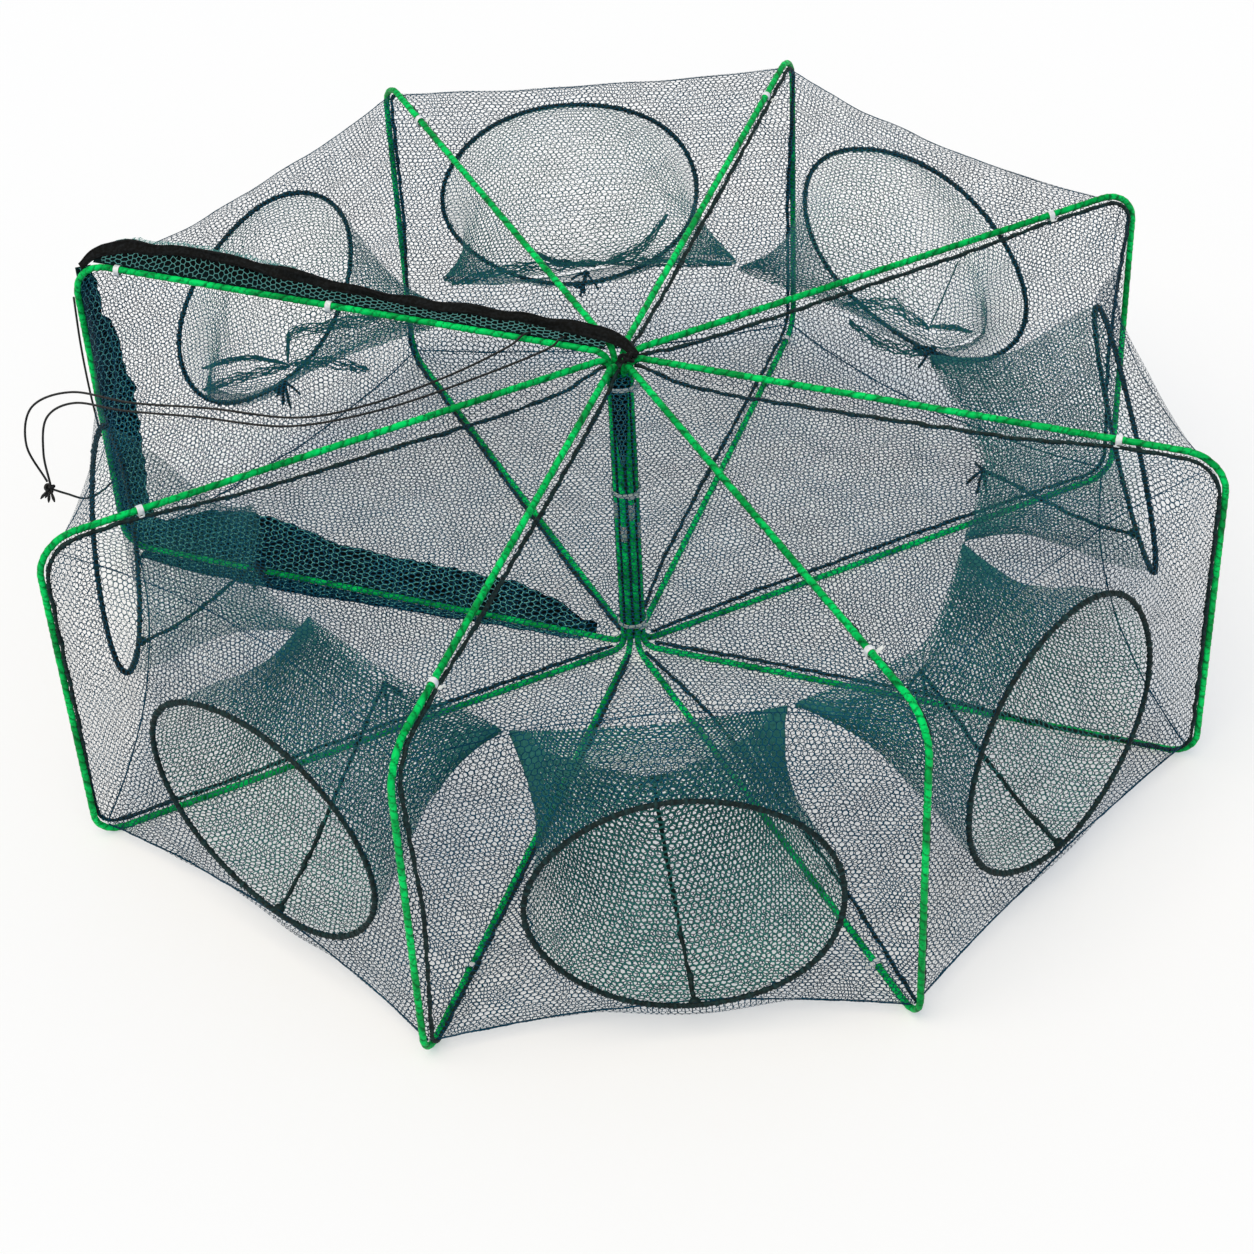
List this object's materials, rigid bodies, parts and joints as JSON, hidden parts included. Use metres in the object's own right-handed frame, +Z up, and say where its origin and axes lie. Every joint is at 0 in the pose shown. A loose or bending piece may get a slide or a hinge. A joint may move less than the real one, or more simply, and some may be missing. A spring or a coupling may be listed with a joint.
{
  "type": "folding bait trap",
  "caption": "Umbrella-like folding net trap: wire loops round a centre column, netted bays with hooped funnel entrances, and a drawstring mouth along one loop.",
  "frame": {"origin": "on the ground, on the centre line of the column of inner legs", "axes": "+Z up the column; +Y away from the viewer of the picture, +X to the viewer's right, with the drawstring mouth along the loop at -X and a little +Y"},
  "size_m": [0.8913, 0.8648, 0.3062],
  "materials": {
    "green_wrapping": "satin",
    "clear_plastic": "glossy",
    "white_tie": "satin",
    "blue_green_netting": "matte",
    "dense_green_netting": "matte",
    "dark_hoop": "matte",
    "black_tape": "satin",
    "coarse_netting": "matte",
    "black_cord": "matte"
  },
  "bodies": {
    "frame_1": {"frame_1": "green_wrapping", "sleeve_1": "clear_plastic", "arm_tie_1": "white_tie", "net_1": "blue_green_netting", "hoop_1": "dark_hoop", "funnel_1": "dense_green_netting", "net_8": "blue_green_netting", "hoop_8": "dark_hoop", "funnel_8": "dense_green_netting", "mouth_hem": "black_tape", "mouth_cuff": "coarse_netting", "pull_cord_1": "black_cord", "pull_cord_2": "black_cord", "pull_cord_3": "black_cord", "leg_cord": "black_cord", "drawstring_knot": "black_cord"},
    "frame_2": {"frame_2": "green_wrapping", "sleeve_2": "clear_plastic", "arm_tie_2": "white_tie", "net_2": "blue_green_netting", "hoop_2": "dark_hoop", "funnel_2": "dense_green_netting"},
    "frame_3": {"frame_3": "green_wrapping", "sleeve_3": "clear_plastic", "arm_tie_3": "white_tie", "net_3": "blue_green_netting", "hoop_3": "dark_hoop", "funnel_3": "dense_green_netting"},
    "frame_4": {"frame_4": "green_wrapping", "sleeve_4": "clear_plastic", "arm_tie_4": "white_tie", "net_4": "blue_green_netting", "hoop_4": "dark_hoop", "funnel_4": "dense_green_netting"},
    "frame_5": {"frame_5": "green_wrapping", "sleeve_5": "clear_plastic", "arm_tie_5": "white_tie", "net_5": "blue_green_netting", "hoop_5": "dark_hoop", "funnel_5": "dense_green_netting", "hub_tie_top": "clear_plastic", "hub_tie_middle": "clear_plastic", "hub_tie_bottom": "clear_plastic", "mouth_tail": "coarse_netting"},
    "frame_6": {"frame_6": "green_wrapping", "sleeve_6": "clear_plastic", "arm_tie_6": "white_tie", "net_6": "blue_green_netting", "hoop_6": "dark_hoop", "funnel_6": "dense_green_netting"},
    "frame_7": {"frame_7": "green_wrapping", "sleeve_7": "clear_plastic", "arm_tie_7": "white_tie", "net_7": "blue_green_netting", "hoop_7": "dark_hoop", "funnel_7": "dense_green_netting"},
    "frame_8": {"frame_8": "green_wrapping", "sleeve_8": "clear_plastic", "arm_tie_8": "white_tie", "arm_tie_8_outer": "white_tie"}
  },
  "joints": [
    {"name": "fold_4", "type": "hinge", "parent": "frame_5", "child": "frame_4", "pos_m": [0.00748, -0.0031, 0.15], "axis": [0, 0, -1], "range_deg": [0, 44.25], "deforming": ["net_4", "hoop_4", "funnel_4", "mouth_tail", "hub_tie_top", "hub_tie_middle", "hub_tie_bottom"]},
    {"name": "fold_3", "type": "hinge", "parent": "frame_4", "child": "frame_3", "pos_m": [0.00748, 0.0031, 0.15], "axis": [0, 0, -1], "range_deg": [0, 44.25], "deforming": ["net_3", "hoop_3", "funnel_3"]},
    {"name": "fold_2", "type": "hinge", "parent": "frame_3", "child": "frame_2", "pos_m": [0.0031, 0.00748, 0.15], "axis": [0, 0, -1], "range_deg": [0, 44.25], "deforming": ["net_2", "hoop_2", "funnel_2"]},
    {"name": "fold_1", "type": "hinge", "parent": "frame_2", "child": "frame_1", "pos_m": [-0.0031, 0.00748, 0.15], "axis": [0, 0, -1], "range_deg": [0, 44.25], "deforming": ["net_1", "hoop_1", "funnel_1", "net_8", "hoop_8", "funnel_8", "mouth_hem", "mouth_cuff", "pull_cord_1", "pull_cord_2", "pull_cord_3", "leg_cord", "drawstring_knot"]},
    {"name": "fold_6", "type": "hinge", "parent": "frame_5", "child": "frame_6", "pos_m": [-0.0031, -0.00748, 0.15], "axis": [0, 0, 1], "range_deg": [0, 44.25], "deforming": ["net_5", "hoop_5", "funnel_5"]},
    {"name": "fold_7", "type": "hinge", "parent": "frame_6", "child": "frame_7", "pos_m": [-0.00748, -0.0031, 0.15], "axis": [0, 0, 1], "range_deg": [0, 44.25], "deforming": ["net_6", "hoop_6", "funnel_6"]},
    {"name": "fold_8", "type": "hinge", "parent": "frame_7", "child": "frame_8", "pos_m": [-0.00748, 0.0031, 0.15], "axis": [0, 0, 1], "range_deg": [0, 44.25], "deforming": ["net_7", "hoop_7", "funnel_7"]}
  ],
  "couplings": [
    {"joint": "fold_3", "follows": "fold_4", "ratio": 1},
    {"joint": "fold_2", "follows": "fold_4", "ratio": 1},
    {"joint": "fold_1", "follows": "fold_4", "ratio": 1},
    {"joint": "fold_6", "follows": "fold_4", "ratio": 1},
    {"joint": "fold_7", "follows": "fold_4", "ratio": 1},
    {"joint": "fold_8", "follows": "fold_4", "ratio": 1}
  ]
}
